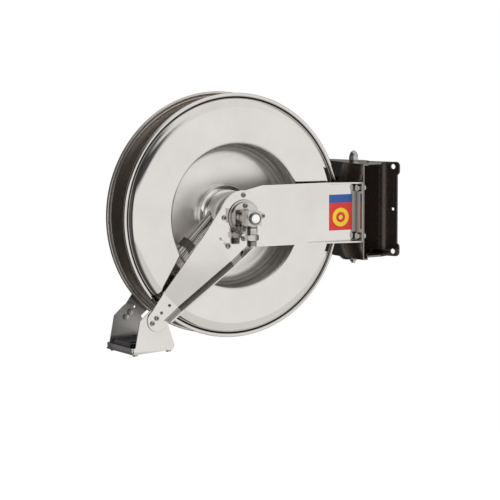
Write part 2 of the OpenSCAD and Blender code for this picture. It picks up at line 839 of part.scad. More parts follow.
module disc_near() {
    color(colour_bright) reel_place() difference() {
        rotate([90, 0, 0]) disc(-joint_y + disc_t, bowl_r);
        hub_bolt_holes();
        outlet_place() translate([0, 0, well_r - outlet_cut])
            cylinder(h = 2 * outlet_cut, r = outlet_r + 1);
    }
}

module disc_far() {
    color(colour_bright) reel_place() difference() {
        about_axis() disc(joint_y + disc_t, fillet_r);
        hub_bolt_holes();
    }
}

hub_flange_r = 60;
hub_flange_y = [-6, joint_y - disc_t];
hub_tube_t = 2.5;
hub_front = -71;

module hub_flange() {
    color(colour_bright) reel_place() difference() {
        bar(hub_flange_y[0], hub_flange_y[1], hub_flange_r);
        bar(hub_flange_y[0] - cut, hub_flange_y[1] + cut, shaft_r);
        hub_bolt_holes();
    }
}

module hub_tube() {
    color(colour_bright) reel_place() difference() {
        ring(hub_front, hub_flange_y[0], hub_r, hub_r - hub_tube_t);
        outlet_place() translate([0, 0, outlet_cut]) cylinder(h = 2 * outlet_cut, r = pipe_r + 2);
    }
}

module hub_bolts() {
    for (a = hub_bolt_angles) color(colour_bright) reel_place() rotate([0, a, 0]) {
        bar(hub_flange_y[0] + 1, case_floor[1], bolt_r, hub_bolt_ring);
        bar(case_floor[1], case_floor[1] + hub_bolt_head[1], hub_bolt_head[0], hub_bolt_ring);
    }
}

shaft_end = boss_out + 7;
spigot_end = -121;
pipe_y = -28;                   // plane of the goose-neck pipe
pipe_r = 11.5;
pipe_elbow_x = -43;
pipe_seat_x = -12;
outlet_r = 13;
shaft_step = -boss_out + 1.5;   // where the shaft narrows to the spigot
ring_y = [boss_out + 0.5, boss_out + 2.5];
ring_over = 3;                  // how far the retaining ring stands out of its groove

module drum_shaft() {
    color(colour_bright) reel_place() difference() {
        union() {
            bar(shaft_step, shaft_end, shaft_r);
            bar(spigot_end, shaft_step, spigot_r);
        }
        bar(spigot_end - cut, pipe_y + water_r, water_r);
        translate([0, pipe_y, 0]) rotate([0, -90, 0]) cylinder(h = 30, r = water_r);
        translate([pipe_seat_x, pipe_y, 0]) rotate([0, -90, 0]) cylinder(h = 10, r = pipe_r);
        ring(ring_y[0], ring_y[1], shaft_r + cut, shaft_r - 1);
    }
}

module shaft_ring() {
    color(colour_dark) reel_place() ring(ring_y[0], ring_y[1], shaft_r + ring_over, shaft_r - 1);
}

// Stretch of pipe past the elbow: origin at its point nearest the drum axis, +Z along it,
// down and away from the bracket at 45 degrees.
module outlet_place() {
    translate([pipe_elbow_x / 2, pipe_y, -pipe_elbow_x / 2]) rotate([0, -135, 0]) children();
}

elbow_along = -pipe_elbow_x / sqrt(2);
pipe_stop = 112;
ball_extra = 1;                 // how far the corner ball stands proud of the pipe
wall_extra = 1.5;               // how much wider the pipe's bore is than the water way
pipe_nut_in = 8;                // how much of the nut is on the pipe
pipe_nut_h = 18;
pipe_nut_flats = 30;

// Out of the shaft, round a ball corner and down to the drum wall; past is how far it runs on
module pipe_path(r, past) {
    translate([pipe_seat_x + past, pipe_y, 0]) rotate([0, -90, 0])
        cylinder(h = pipe_seat_x + past - pipe_elbow_x, r = r);
    translate([pipe_elbow_x, pipe_y, 0]) rotate([0, 90, 0]) sphere(r + ball_extra);
    outlet_place() translate([0, 0, elbow_along])
        cylinder(h = pipe_stop + past - elbow_along, r = r);
}

module goose_pipe() {
    color(colour_bright) reel_place() difference() {
        pipe_path(pipe_r, 0);
        pipe_path(water_r + wall_extra, cut);
    }
}

module pipe_nut() {
    color(colour_dark) reel_place() outlet_place() translate([0, 0, pipe_stop - pipe_nut_in]) difference() {
        cylinder(h = pipe_nut_h, r = pipe_nut_flats / sqrt(3), $fn = 6);
        translate([0, 0, -cut]) cylinder(h = pipe_nut_in + cut, r = pipe_r);
        translate([0, 0, pipe_nut_in - cut])
            cylinder(h = pipe_nut_h - pipe_nut_in + 2 * cut, r = outlet_r);
    }
}

// Stub through the drum wall, with a barbed hose tail along the winding
outlet_head = 164;
tail_len = 44;
barb_from = 24;
barb_step = 6;
barb = [10, 8.5];               // radii of a barb, the smaller is the tail's own

module hose_outlet() {
    color(colour_bright) reel_place() outlet_place() difference() {
        union() {
            translate([0, 0, pipe_stop]) cylinder(h = outlet_head - pipe_stop, r = outlet_r);
            translate([0, 0, outlet_head]) sphere(outlet_r);
            translate([0, 0, outlet_head]) rotate([0, 90, 0]) {
                cylinder(h = tail_len, r = barb[1]);
                for (i = [0 : 2]) translate([0, 0, barb_from + i * barb_step])
                    cylinder(h = barb_step - 1, r1 = barb[0], r2 = barb[1]);
            }
        }
        translate([0, 0, pipe_stop - cut]) cylinder(h = outlet_head - pipe_stop + cut, r = water_r);
        translate([0, 0, outlet_head]) rotate([0, 90, 0]) cylinder(h = tail_len + cut, r = water_r);
    }
}

// ---- spring case ----

case_floor = [joint_y + disc_t, joint_y + disc_t + 2.5];
case_top = 54;
case_wall = 3;
case_flange_t = 3;
cover_screw_r = 120.5;
cover_screw = [2.5, 4.5, 2.5];  // shank radius, head radius, head height
cover_angles = [0 : 45 : 315];

module cover_screw_holes(y0, y1) {
    for (a = cover_angles)
        bar(y0, y1, cover_screw[0], cover_screw_r * cos(a), cover_screw_r * sin(a));
}

module spring_case() {
    color(colour_dark) reel_place() difference() {
        union() {
            bar(case_floor[0], case_top, case_r);
            bar(case_top - case_flange_t, case_top, case_flange_r);
        }
        bar(case_floor[1], case_top + cut, case_r - case_wall);
        bar(case_floor[0] - cut, case_floor[1] + cut, shaft_r);
        hub_bolt_holes();
        cover_screw_holes(case_top - case_flange_t - cut, case_top + cut);
    }
}

module spring_cover() {
    color(colour_dark) reel_place() difference() {
        bar(case_top, ratchet_y, case_flange_r);
        bar(case_top - cut, ratchet_y + cut, arbor_r + 2);
        cover_screw_holes(case_top - cut, ratchet_y + cut);
    }
}

module cover_screws() {
    for (a = cover_angles) color(colour_bright) reel_place() rotate([0, a, 0]) {
        bar(case_top - case_flange_t, ratchet_y, cover_screw[0], cover_screw_r);
        bar(ratchet_y, ratchet_y + cover_screw[2], cover_screw[1], cover_screw_r);
    }
}

// Flat strip wound from just outside the arbor to just inside the case
spring_turns = 9;
spring_steps = 20;
spring_strip = 1.5;
spring_from = arbor_r + 3;
spring_to = case_r - case_wall - spring_strip - 0.5;
spring_y = [19, 52];

function spiral(extra) = [for (i = [0 : spring_turns * spring_steps])
    let (a = i * 360 / spring_steps,
        r = extra + spring_from + (spring_to - spring_from) * i / (spring_turns * spring_steps))
    [r * cos(a), r * sin(a)]];

module spiral_spring() {
    color(colour_dark) reel_place() translate([0, spring_y[0], 0]) about_axis()
        linear_extrude(spring_y[1] - spring_y[0])
        polygon(concat(spiral(0), reversed(spiral(spring_strip))));
}

wall_bracket();
pivot_pin();
pivot_cap_nut();
pivot_end_washer();
pivot_end_bolt();
swivel_channel();
thrust_washers();
arm_near();
arm_far();
arm_bolts();
arm_nuts();
guide_bracket();
guide_screws();
guide_nuts();
roller_holder_near();
roller_holder_far();
roller_pins();
roller_holder_bolts();
bearing_housing_near();
bearing_housing_far();
bearing_bush_near();
bearing_bush_far();
housing_screws();
spring_arbor();
swivel_body();
swivel_flange_screws();
swivel_cap();
swivel_seals();
inlet_adapter();
inlet_nut();
inlet_tail();
slot_screw();
sticker();
pawl_pin();
pawl();
roller_long_front();
roller_long_rear();
roller_side_near();
roller_side_far();
disc_near();
disc_far();
hub_flange();
hub_tube();
hub_bolts();
drum_shaft();
shaft_ring();
goose_pipe();
pipe_nut();
hose_outlet();
spring_case();
spring_cover();
cover_screws();
spiral_spring();
ratchet_wheel();
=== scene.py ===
import bpy, bmesh, json, math
from mathutils import Vector, Matrix


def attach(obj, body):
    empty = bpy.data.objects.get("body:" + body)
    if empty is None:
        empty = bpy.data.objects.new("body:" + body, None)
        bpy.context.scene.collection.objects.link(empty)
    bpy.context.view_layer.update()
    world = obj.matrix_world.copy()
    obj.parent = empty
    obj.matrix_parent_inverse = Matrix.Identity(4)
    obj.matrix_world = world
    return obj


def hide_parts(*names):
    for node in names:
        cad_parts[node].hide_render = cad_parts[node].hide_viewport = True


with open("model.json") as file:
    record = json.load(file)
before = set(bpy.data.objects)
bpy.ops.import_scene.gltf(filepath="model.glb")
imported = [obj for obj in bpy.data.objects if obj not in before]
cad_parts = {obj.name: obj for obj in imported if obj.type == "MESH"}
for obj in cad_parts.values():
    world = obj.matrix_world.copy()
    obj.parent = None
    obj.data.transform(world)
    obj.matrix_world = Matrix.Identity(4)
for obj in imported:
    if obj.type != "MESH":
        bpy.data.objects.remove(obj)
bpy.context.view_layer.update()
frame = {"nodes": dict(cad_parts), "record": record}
nodes = frame["nodes"]
scene = bpy.context.scene
scene.view_settings.view_transform = "Standard"
scene.cycles.max_bounces = 16       # the two discs and the hub mirror each other many times
scene.cycles.glossy_bounces = 14

# ---- the reel's own axes, as in the part's source: X to the pivot, -Y near side, Z up (mm) ----
PIVOT = (0, -0.067, 0.0045)         # the swivel pivot at the height of the drum axis, in metres
PIVOT_ARM = 0.308                   # from the drum axis to the pivot
REST = math.radians(30)             # how far the reel is turned from square to the wall
REEL = (Matrix.Translation(PIVOT) @ Matrix.Rotation(math.radians(90) - REST, 4, "Z")
        @ Matrix.Translation((-PIVOT_ARM, 0, 0)) @ Matrix.Diagonal((0.001, 0.001, 0.001, 1)))
UNREEL = REEL.inverted()


# ---- camera ----
CAMERA_AT = (2.74977337, -4.98074461, 0.47716228)
CAMERA_VIEW = (-0.51917496, 0.84886794, -0.09940111)    # the way it looks
CAMERA_RIGHT = (0.85309293, 0.521759, 0)
LENS = 192.814


def make_camera():
    data = bpy.data.cameras.new("camera")
    data.sensor_width = 36
    data.lens = LENS
    data.clip_end = 60
    cam = bpy.data.objects.new("camera", data)
    scene.collection.objects.link(cam)
    view = Vector(CAMERA_VIEW).normalized()
    right = Vector(CAMERA_RIGHT).normalized()
    m = Matrix((right, right.cross(view), -view)).transposed().to_4x4()
    m.translation = CAMERA_AT
    cam.matrix_world = m
    scene.camera = cam


# ---- small node toolkit ----
class Net:
    """Builds a material's node tree in few words."""

    def __init__(self, tree, keep=False):
        self.tree = tree
        if not keep:
            tree.nodes.clear()

    def feed(self, socket, value):
        """Links a socket to another one, or sets it to a constant."""
        if hasattr(value, "links"):
            self.tree.links.new(value, socket)
        else:
            socket.default_value = value

    def node(self, kind, **values):
        """Makes a node: in_NAME or in_NUMBER feeds an input, other words set a property."""
        n = self.tree.nodes.new(kind)
        for k, v in values.items():
            if k.startswith("in_"):
                key = k[3:]
                self.feed(n.inputs[int(key) if key.isdigit() else key.replace("_", " ")], v)
            else:
                setattr(n, k, v)
        return n

    def math(self, op, a, b=0.0, c=0.0):
        return self.node("ShaderNodeMath", operation=op, in_0=a, in_1=b, in_2=c).outputs[0]

    def vector(self, op, a, b, out="Vector"):
        return self.node("ShaderNodeVectorMath", operation=op, in_0=a, in_1=b).outputs[out]

    def length(self, a):
        return self.node("ShaderNodeVectorMath", operation="LENGTH", in_0=a).outputs["Value"]

    def scale(self, a, by):
        return self.node("ShaderNodeVectorMath", operation="SCALE", in_0=a, in_Scale=by).outputs[0]

    def ramp(self, fac, stops):
        n = self.node("ShaderNodeValToRGB", in_0=fac)
        els = n.color_ramp.elements
        for i, (p, c) in enumerate(stops):
            e = els[i] if i < 2 else els.new(p)
            e.position = p
            e.color = (c, c, c, 1)
        return n.outputs[0]

    def noise(self, vector, scale, detail=3.0, rough=0.55):
        return self.node("ShaderNodeTexNoise", in_Vector=vector, in_Scale=scale, in_Detail=detail,
                         in_Roughness=rough).outputs["Fac"]

    def scaled(self, vector, s):
        return self.node("ShaderNodeMapping", in_Vector=vector, in_Scale=s).outputs[0]

    def blend(self, fac, a, b):
        """Number a where fac is 0, b where it is 1."""
        return self.node("ShaderNodeMix", data_type="FLOAT", in_0=fac, in_2=a, in_3=b).outputs[0]

    def blend_color(self, fac, a, b):
        """Colour a where fac is 0, b where it is 1."""
        return self.node("ShaderNodeMix", data_type="RGBA", in_0=fac, in_6=a, in_7=b).outputs[2]

    def span(self, fac, lo, hi, a=0.0, b=1.0):
        """Goes from a to b while fac goes from lo to hi, and stays there past them."""
        n = self.node("ShaderNodeMapRange", in_0=fac, in_1=lo, in_2=hi, in_3=a, in_4=b)
        return n.outputs[0]


MATERIALS = {}


def new_material(name):
    """An empty node material, kept under its slot's name, and its net."""
    mat = bpy.data.materials.new(name)
    mat.use_nodes = True
    MATERIALS[name] = mat
    return mat, Net(mat.node_tree)


def close_material(n, shader):
    out = n.node("ShaderNodeOutputMaterial")
    n.tree.links.new(shader, out.inputs[0])


def reel_axes(n, co):
    """A point's place in the reel's axes, in mm."""
    return n.node("ShaderNodeMapping", in_Vector=co, in_Location=UNREEL.translation,
                  in_Scale=(1000, 1000, 1000), in_Rotation=UNREEL.to_euler()).outputs[0]


def metal(name, color, rough, dirt=0.5, wave=0.0, edge_highlight=0.25, spun=None, crevice_shade=0.0, zone=None):
    """Steel or bronze: colour drift, smudged roughness, faint waves, painted highlights on its
    corners, a dull spun middle of the roughness spun, painted shade in crevices within the
    distance crevice_shade, and zones of painted reflection and shade that zone gives as (dimming,
    added roughness)."""
    n = new_material(name)[1]
    co = n.node("ShaderNodeTexCoord").outputs["Object"]
    cloud = n.noise(co, 14, 4)
    fine = n.noise(co, 320, 5, 0.7)
    smear = n.noise(n.scaled(co, (6, 6, 40)), 5, 3)
    tone = n.blend_color(n.span(cloud, 0.35, 0.75, 0.0, 0.32 * dirt), (*color, 1),
                         (*[c * 0.55 for c in color], 1))
    # painted highlights: brighter edges, found from a rounded normal
    rounded = n.node("ShaderNodeBevel", samples=4, in_Radius=0.0008).outputs[0]
    true_normal = n.node("ShaderNodeNewGeometry").outputs["True Normal"]
    alike = n.vector("DOT_PRODUCT", rounded, true_normal, "Value")
    tone = n.blend_color(n.span(alike, 0.995, 0.85, 0.0, edge_highlight), tone,
                         (*[min(1, c * 1.25 + 0.05) for c in color], 1))
    dull = n.math("ADD", n.span(smear, 0.3, 0.7, rough * 0.8, rough * 1.25),
                  n.span(fine, 0.45, 0.8, 0.0, 0.05 * dirt))
    height = n.math("MULTIPLY", fine, 0.02)
    if spun:
        radius = n.length(n.vector("MULTIPLY", reel_axes(n, co), (1, 0, 1)))
        rings = n.node("ShaderNodeTexNoise", noise_dimensions="1D", in_W=radius, in_Scale=1.6,
                       in_Detail=2).outputs["Fac"]
        inside = n.span(radius, 151, 138)
        spun_dull = n.math("ADD", n.span(cloud, 0.3, 0.7, spun * 0.95, spun * 1.05),
                           n.span(rings, 0.4, 0.7, 0, 0.03))
        dull = n.blend(inside, dull, spun_dull)
        height = n.math("MULTIPLY", height, n.span(inside, 0, 1, 1, 0.3))
        ring_bump = n.math("MULTIPLY", rings, n.span(radius, 132, 118, 0.0, 0.012))
        height = n.math("ADD", height, ring_bump)
    if wave:
        height = n.math("ADD", height, n.math("MULTIPLY", n.noise(co, 9, 1), wave))
    normal = n.node("ShaderNodeBump", in_Strength=0.06, in_Distance=0.001, in_Height=height,
                    in_Normal=rounded).outputs[0]
    if zone:
        dim, dull_by = zone(n, n.node("ShaderNodeSeparateXYZ", in_0=reel_axes(n, co)).outputs)
        tone = n.scale(tone, dim)
        dull = n.math("ADD", dull, dull_by)
    # painted shade: ambient occlusion darkens the colour in crevices and between parts
    if crevice_shade:
        open_air = n.node("ShaderNodeAmbientOcclusion", samples=4, in_Distance=crevice_shade)
        tone = n.scale(tone, n.span(open_air.outputs["AO"], 0.25, 0.85, 0.28, 1.0))
    shader = n.node("ShaderNodeBsdfPrincipled", in_Metallic=1.0, in_Base_Color=tone,
                    in_Roughness=dull, in_Normal=normal)
    close_material(n, shader.outputs[0])


def plastic(name, color, rough, coat=0.0):
    """Moulded nylon, rubber or paint: fine grain, slow colour drift and scuffed roughness."""
    mat, n = new_material(name)
    co = n.node("ShaderNodeTexCoord").outputs["Object"]
    cloud = n.noise(co, 22, 4)
    fine = n.noise(co, 900, 3, 0.6)
    tone = n.blend_color(n.span(cloud, 0.3, 0.75, 0.0, 0.45), (*color, 1),
                         (*[c * 0.72 + 0.008 for c in color], 1))
    dull = n.math("ADD", n.span(cloud, 0.3, 0.7, rough * 0.85, rough * 1.15),
                  n.span(fine, 0.4, 0.7, 0, 0.06))
    grain = n.node("ShaderNodeBump", in_Strength=0.15, in_Distance=0.0006, in_Height=fine)
    shader = n.node("ShaderNodeBsdfPrincipled", in_Coat_Weight=coat, in_Base_Color=tone,
                    in_Roughness=dull, in_Normal=grain.outputs[0])
    close_material(n, shader.outputs[0])
    return mat


MARK_AT = (228.5, -10)              # middle of the ring mark, along X and Z of the reel
BAND_FROM = 20                      # height from which the band runs up


def film(name):
    """Printed plastic film: red field with a plain ring mark in yellow under a blue band."""
    mat = plastic(name, (0.72, 0.03, 0.02), 0.3)
    n = Net(mat.node_tree, keep=True)
    shader = next(x for x in n.tree.nodes if x.type == "BSDF_PRINCIPLED")
    tone = shader.inputs["Base Color"].links[0].from_socket
    place = n.node("ShaderNodeTexCoord").outputs["Object"]
    x, _, z = n.node("ShaderNodeSeparateXYZ", in_0=reel_axes(n, place)).outputs
    away = n.length(n.node("ShaderNodeCombineXYZ", in_0=n.math("SUBTRACT", x, MARK_AT[0]),
                           in_2=n.math("SUBTRACT", z, MARK_AT[1])).outputs[0])
    ring = n.math("MULTIPLY", n.span(away, 10.5, 11.0), n.span(away, 19.5, 19.0))
    mark = n.math("MAXIMUM", ring, n.span(away, 5.0, 4.5))
    tone = n.blend_color(mark, tone, (0.90, 0.62, 0.02, 1))
    tone = n.blend_color(n.span(z, BAND_FROM - 0.2, BAND_FROM + 0.2), tone, (0.02, 0.09, 0.33, 1))
    n.tree.links.new(tone, shader.inputs["Base Color"])


# ---- studio ----
# What the polished steel sees, by compass angle round the reel (0 is straight out of its near
# side, 90 towards the pivot): at eye level, half way up, overhead and near the floor. The
# levels were chosen one by one and describe no real room.
LEVEL = ((-180, 0.55), (-166, 0.50), (-152, 0.06), (-112, 0.10), (-90, 0.02), (-76, 0.14),
         (-62, 0.06), (-54, 0.03), (-48, 1.0), (70, 1.0), (88, 0.25), (104, 0.03), (144, 0.06),
         (158, 0.50), (180, 0.55))
MIDDLE = ((-180, 0.40), (-150, 0.08), (-60, 0.05), (-12, 0.10), (8, 0.9), (70, 1.0), (100, 0.4),
          (130, 0.1), (158, 0.35), (180, 0.4))
OVERHEAD = ((-180, 0.6), (-150, 0.30), (-100, 0.16), (-60, 0.12), (-36, 0.9), (80, 0.95),
            (180, 0.6))
LOW = ((-180, 0.22), (-140, 0.10), (-60, 0.06), (-40, 0.8), (80, 0.85), (130, 0.35), (180, 0.22))
TOP_LIGHT = 0.95                    # straight up
DIFFUSE_LIGHT = 0.70                # what dull surfaces get from every side
FRONT = (0.8660254, -0.5, 0)        # compass angle 0
RIGHT = (0.5, 0.8660254, 0)         # compass angle 90


def compass(n, vector, stops):
    """Level by the angle of a vector round the reel."""
    front = n.vector("DOT_PRODUCT", vector, FRONT, "Value")
    right = n.vector("DOT_PRODUCT", vector, RIGHT, "Value")
    turn = n.math("MULTIPLY_ADD", n.math("ARCTAN2", right, front), 1 / (2 * math.pi), 0.5)
    return n.ramp(turn, [(a / 360 + 0.5, v) for a, v in stops])


def make_world():
    world = bpy.data.worlds.new("studio")
    scene.world = world
    world.use_nodes = True
    n = Net(world.node_tree)
    d = n.node("ShaderNodeTexCoord").outputs["Generated"]
    up = n.node("ShaderNodeSeparateXYZ", in_0=d).outputs["Z"]
    level = n.blend(n.span(up, 0.16, 0.30), compass(n, d, LEVEL), compass(n, d, MIDDLE))
    level = n.blend(n.span(up, 0.58, 0.74), level, compass(n, d, OVERHEAD))
    level = n.blend(n.span(up, 0.86, 0.96), level, TOP_LIGHT)
    level = n.blend(n.span(up, -0.25, -0.5), level, compass(n, d, LOW))
    path = n.node("ShaderNodeLightPath")
    level = n.blend(path.outputs["Is Diffuse Ray"], level, DIFFUSE_LIGHT)
    level = n.blend(path.outputs["Is Camera Ray"], level, 1.0)
    back = n.node("ShaderNodeBackground", in_Color=(1, 1, 1, 1), in_Strength=level)
    out = n.node("ShaderNodeOutputWorld")
    n.tree.links.new(back.outputs[0], out.inputs[0])


AIM = (-0.15, -0.3, 0)              # about the middle of the drum


def area(name, place, size, power):
    """Square soft light aimed at the drum, left out of reflections."""
    data = bpy.data.lights.new(name, "AREA")
    data.shape = "RECTANGLE"
    data.size = data.size_y = size
    data.energy = power
    lamp = bpy.data.objects.new(name, data)
    scene.collection.objects.link(lamp)
    turned = (Vector(AIM) - Vector(place)).to_track_quat("-Z", "Y").to_matrix().to_4x4()
    lamp.matrix_world = Matrix.Translation(place) @ turned
    lamp.visible_glossy = False


FLOOR_R = 3
FLOOR_AT = (-0.1, -0.3, -0.95)
FLOOR_CENTRE = (-0.15, -0.33, 0)    # where the compass of its reflection turns


def make_floor():
    """White to the camera; the steel sees the low band of the studio in it."""
    bm = bmesh.new()
    bmesh.ops.create_circle(bm, cap_ends=True, segments=96, radius=FLOOR_R)
    me = bpy.data.meshes.new("floor")
    bm.to_mesh(me)
    bm.free()
    floor = bpy.data.objects.new("floor", me)
    floor.location = FLOOR_AT
    scene.collection.objects.link(floor)
    mat = bpy.data.materials.new("floor")
    mat.use_nodes = True
    n = Net(mat.node_tree)
    path = n.node("ShaderNodeLightPath")
    here = n.node("ShaderNodeNewGeometry").outputs["Position"]
    spot = n.vector("SUBTRACT", here, FLOOR_CENTRE)
    white = n.math("MULTIPLY", path.outputs["Is Camera Ray"], 0.7)
    glow = n.node("ShaderNodeEmission", in_Color=(1, 1, 1, 1), in_Strength=white)
    plain = n.node("ShaderNodeBsdfDiffuse", in_Color=(0.62, 0.62, 0.62, 1))
    seen = n.node("ShaderNodeAddShader", in_0=glow.outputs[0], in_1=plain.outputs[0])
    mirrored = n.node("ShaderNodeEmission", in_Color=(1, 1, 1, 1),
                      in_Strength=compass(n, spot, LOW))
    both = n.node("ShaderNodeMixShader", in_0=path.outputs["Is Glossy Ray"],
                  in_1=seen.outputs[0], in_2=mirrored.outputs[0])
    close_material(n, both.outputs[0])
    me.materials.append(mat)


make_camera()
make_world()
make_floor()
area("key", (1.6, -2.6, 2.6), 2.2, 60)
area("fill", (-2.8, -2.0, 1.6), 2.0, 25)

# ---- materials by the record's slot ----
# The zones below are not on the real metal: they are painted reflection and shade, standing for
# what it mirrors at those places.
def arm_zones(n, reel):
    """Painted reflection and shade: dim towards the swivel flange; dull on the far cheek of the
    hose guide.
    """
    x, y, z = reel
    far_cheek = n.math("MULTIPLY", n.span(y, 20, 40), n.span(z, -150, -170))
    dim = n.math("MULTIPLY", n.span(x, 256, 268, 1.0, 0.42), n.span(far_cheek, 0, 1, 1.0, 0.62))
    dim = n.math("MULTIPLY", dim, n.span(z, -263, -269, 1.0, 0.62))
    return dim, n.span(far_cheek, 0, 1, 0.0, 0.30)


def drum_zones(n, reel):
    """Painted reflection and shade: darker on the wall of the well, paler on its floor."""
    x, _, z = reel
    radius = n.math("SQRT", n.math("MULTIPLY_ADD", x, x, n.math("MULTIPLY", z, z)))
    wall = n.math("MULTIPLY", n.span(radius, 152, 145), n.span(radius, 128, 140))
    dim = n.math("MULTIPLY", n.span(wall, 0, 1, 1.0, 0.66), n.span(radius, 135, 75, 1.0, 1.25))
    return dim, 0.0


# bracket_steel is darker here than the plain steel of the record, because it looks nearly black:
# its colour is painted dark reflection.
metal("arm_steel", (0.735, 0.71, 0.68), 0.06, wave=0.6, crevice_shade=0.003, zone=arm_zones)
metal("drum_steel", (0.735, 0.71, 0.68), 0.06, wave=0.5, spun=0.34, crevice_shade=0.006,
      zone=drum_zones)
metal("hub_steel", (0.93, 0.92, 0.90), 0.13, dirt=0.15, edge_highlight=0.0)
metal("drum_inside", (0.62, 0.58, 0.54), 0.34)
metal("inlet_steel", (0.60, 0.575, 0.545), 0.15, edge_highlight=0.4, crevice_shade=0.006)
metal("pipe_steel", (0.60, 0.585, 0.565), 0.16, crevice_shade=0.010)
metal("bracket_steel", (0.23, 0.208, 0.192), 0.12, wave=0.4, edge_highlight=0.55, crevice_shade=0.004)
metal("fastener_steel", (0.50, 0.485, 0.465), 0.2, edge_highlight=0.5, dirt=0.9, crevice_shade=0.004)
metal("dark_steel", (0.26, 0.25, 0.24), 0.3, dirt=1.0)
metal("bronze", (0.62, 0.44, 0.22), 0.25)
plastic("case_paint", (0.20, 0.20, 0.205), 0.38, coat=0.15)
plastic("nylon", (0.025, 0.025, 0.028), 0.45)
plastic("seal_rubber", (0.012, 0.012, 0.012), 0.6)
film("sticker_film")

slot_of = {s["node"]: s["material_slot"] for s in frame["record"]["subparts"]}
for name, obj in nodes.items():
    obj.data.materials.clear()
    obj.data.materials.append(MATERIALS[slot_of[name]])

# ---- smooth pieces that stand for CAD nodes, drawn in reel axes (mm) ----
ARM_FACE = 82                       # outer face of an arm, from the middle plane
HOUSING_IN = 73                     # inner face of a bearing housing
GUIDE_FACE = 63.5                   # outer face of a guide cheek
GUIDE_SCREW_END = 49.5
SWIVEL_FLANGE = 90                  # outer face of the flange of the inlet swivel
SWIVEL_SCREW_END = 81
SCREW_SHANK = 2.98                  # radius, just inside the part's own shank
SCREW_HEAD = (5, 4, 2.4)            # radius, height and socket of a round head
SWIVEL_HEAD = (5, 5, 2.4)
SLOT_HEAD = (5.5, 4, 2.6)
SLOT_SHANK = 2.88
HOUSING_SCREW_R = 44.5              # circle of the housing screws
SLOT_SCREW_AT = (67.5, 238.5)       # radius and angle
GUIDE_SCREWS = ((-188, -198), (-197.5, -208))
SWIVEL_SCREW_Z = 23.5

WELL_R = 146                        # pressed discs: the well, its lip and the outer shoulder
LIP_AT, LIP_R = 152, 6
SHOULDER_AT, SHOULDER_R = 218, 25
RING_Y = 54.5                       # outer face of the flat ring
RIM_Y, BEAD_R = 39.5, 4
BEAD_AT = 245.99                    # a hair inside the part's own bead
DISC_T = 2
BORE_R = 15


def polar(radius, degrees):
    return radius * math.cos(math.radians(degrees)), radius * math.sin(math.radians(degrees))


def turn(i, steps):
    """Angle of step i of a full circle."""
    return 2 * math.pi * i / steps


def arc(cx, cy, r, a0, a1, n):
    points = [polar(r, a0 + (a1 - a0) * i / n) for i in range(n + 1)]
    return [(cx + x, cy + y) for x, y in points]


def hexagon_angle(a):
    """Angle from the middle of the nearest flat of a hexagon."""
    return (a + math.pi / 6) % (math.pi / 3) - math.pi / 6


def strip(bm, low, high, material=0):
    """Faces between two closed rings of as many points; points that meet give triangles."""
    for i in range(len(low)):
        j = (i + 1) % len(low)
        face = list(dict.fromkeys((low[i], low[j], high[j], high[i])))
        if len(face) >= 3:
            bm.faces.new(face).material_index = material


def finish_piece(name, bm, body, slot, replaced, angle=35, place=REEL, looks=()):
    """Makes the object: it rides a body, and takes the place of a CAD node."""
    bmesh.ops.remove_doubles(bm, verts=bm.verts, dist=1e-4)
    bmesh.ops.transform(bm, matrix=place, verts=bm.verts)
    bmesh.ops.recalc_face_normals(bm, faces=bm.faces)
    me = bpy.data.meshes.new(name)
    bm.to_mesh(me)
    bm.free()
    for poly in me.polygons:
        poly.use_smooth = True
    me.set_sharp_from_angle(angle=math.radians(angle))
    for m in looks or (slot,):
        me.materials.append(MATERIALS[m])
    obj = bpy.data.objects.new(name, me)
    scene.collection.objects.link(obj)
    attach(obj, body)
    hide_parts(*replaced)


def lathe(bm, outline, steps=256, finish=None):
    """Turns a closed outline of (radius, y) about Y; finish gives the material of a band."""
    rings = []
    for r, y in outline:
        if r < 1e-6:
            rings.append([bm.verts.new((0, y, 0))] * steps)
        else:
            rings.append([bm.verts.new((r * math.cos(turn(i, steps)), y,
                                        r * math.sin(turn(i, steps)))) for i in range(steps)])
    for k, (a, b) in enumerate(zip(rings, rings[1:] + rings[:1])):
        strip(bm, a, b, finish(k) if finish else 0)


def disc_outline(dish, bowl):
    """Pressed disc from bead to bore as (finish, points); heights away from the middle plane."""
    bowl_at = (WELL_R - bowl, dish + bowl)
    shoulder_at = (SHOULDER_AT, RING_Y - SHOULDER_R)
    lip_at = (LIP_AT, RING_Y - LIP_R)
    return ((0, arc(BEAD_AT, RIM_Y, BEAD_R, 202, 0, 24)),
            (0, arc(BEAD_AT, RIM_Y, BEAD_R, 0, -119, 14)[1:]),
            (0, arc(*shoulder_at, SHOULDER_R, 19.9, 90, 24)),
            (0, arc(*lip_at, LIP_R, 90, 180, 12)),
            (0, arc(*bowl_at, bowl, 0, -90, 24)),
            (1, [(BORE_R, dish), (BORE_R, dish - DISC_T)]),
            (1, arc(*bowl_at, bowl + DISC_T, -90, 0, 24)),
            (1, arc(*lip_at, LIP_R - DISC_T, 180, 90, 10)),
            (1, arc(*shoulder_at, SHOULDER_R - DISC_T, 90, 16.4, 22)))


BEAD_PARTS = 2                      # the first two runs of the outline are the bead
HUB = [(47.5, -6), (47.5, -70), (48.3, -71), (49.2, -71), (50, -70)] + \
    arc(52.5, -8.5, 2.5, 180, 90, 4)
HUB_FLANGE = [(15, -6), (59, -6), (60, -5), (60, 6), (15, 6)]


